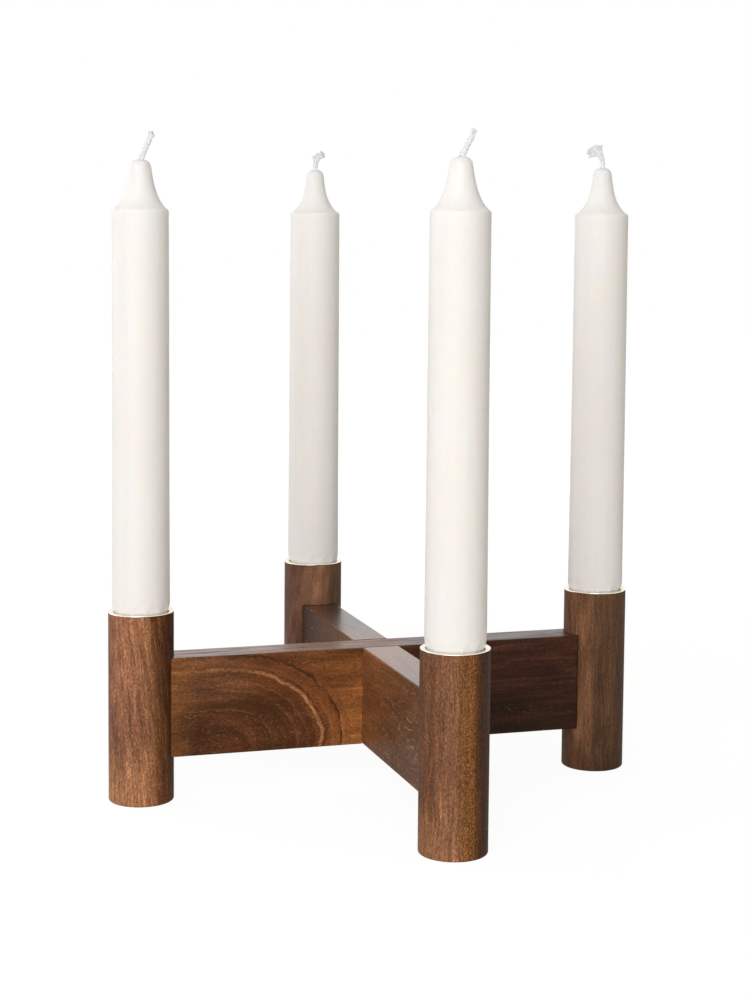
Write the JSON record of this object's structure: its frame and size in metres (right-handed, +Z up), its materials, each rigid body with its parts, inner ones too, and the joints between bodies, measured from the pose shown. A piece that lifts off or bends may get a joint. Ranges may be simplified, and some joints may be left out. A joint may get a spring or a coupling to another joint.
{
  "type": "advent candle holder",
  "caption": "Low wooden cross of halved rails with a round post on each end; a brass cup in each post holds a slim ivory candle with a bell-shaped neck and a bent wick.",
  "frame": {"origin": "on the table, under the middle of the cross where the two rails are halved together", "axes": "+X along the left-right rail towards the right post, +Y along the front-back rail towards the back post, +Z up along the candles"},
  "size_m": [0.213, 0.213, 0.2552],
  "materials": {
    "rail_wood": "oiled, satin",
    "post_wood": "oiled, satin",
    "dowel_wood": "raw beech",
    "cup_brass": "pressed sheet, satin",
    "candle_wax": "ivory wax",
    "wick_cotton": "braided cotton"
  },
  "bodies": {
    "holder": {"left_right_rail": "rail_wood", "front_back_rail": "rail_wood", "left_post": "post_wood", "left_cup": "cup_brass", "left_upper_dowel": "dowel_wood", "left_lower_dowel": "dowel_wood", "right_post": "post_wood", "right_cup": "cup_brass", "right_upper_dowel": "dowel_wood", "right_lower_dowel": "dowel_wood", "front_post": "post_wood", "front_cup": "cup_brass", "front_upper_dowel": "dowel_wood", "front_lower_dowel": "dowel_wood", "back_post": "post_wood", "back_cup": "cup_brass", "back_upper_dowel": "dowel_wood", "back_lower_dowel": "dowel_wood"},
    "left_candle_set": {"left_candle": "candle_wax", "left_wick": "wick_cotton"},
    "right_candle_set": {"right_candle": "candle_wax", "right_wick": "wick_cotton"},
    "front_candle_set": {"front_candle": "candle_wax", "front_wick": "wick_cotton"},
    "back_candle_set": {"back_candle": "candle_wax", "back_wick": "wick_cotton"}
  },
  "joints": [
    {"name": "left_candle_lift", "type": "slide", "parent": "holder", "child": "left_candle_set", "axis": [0, 0, 1], "range_m": [0, 0.04]},
    {"name": "right_candle_lift", "type": "slide", "parent": "holder", "child": "right_candle_set", "axis": [0, 0, 1], "range_m": [0, 0.04]},
    {"name": "front_candle_lift", "type": "slide", "parent": "holder", "child": "front_candle_set", "axis": [0, 0, 1], "range_m": [0, 0.04]},
    {"name": "back_candle_lift", "type": "slide", "parent": "holder", "child": "back_candle_set", "axis": [0, 0, 1], "range_m": [0, 0.04]}
  ]
}
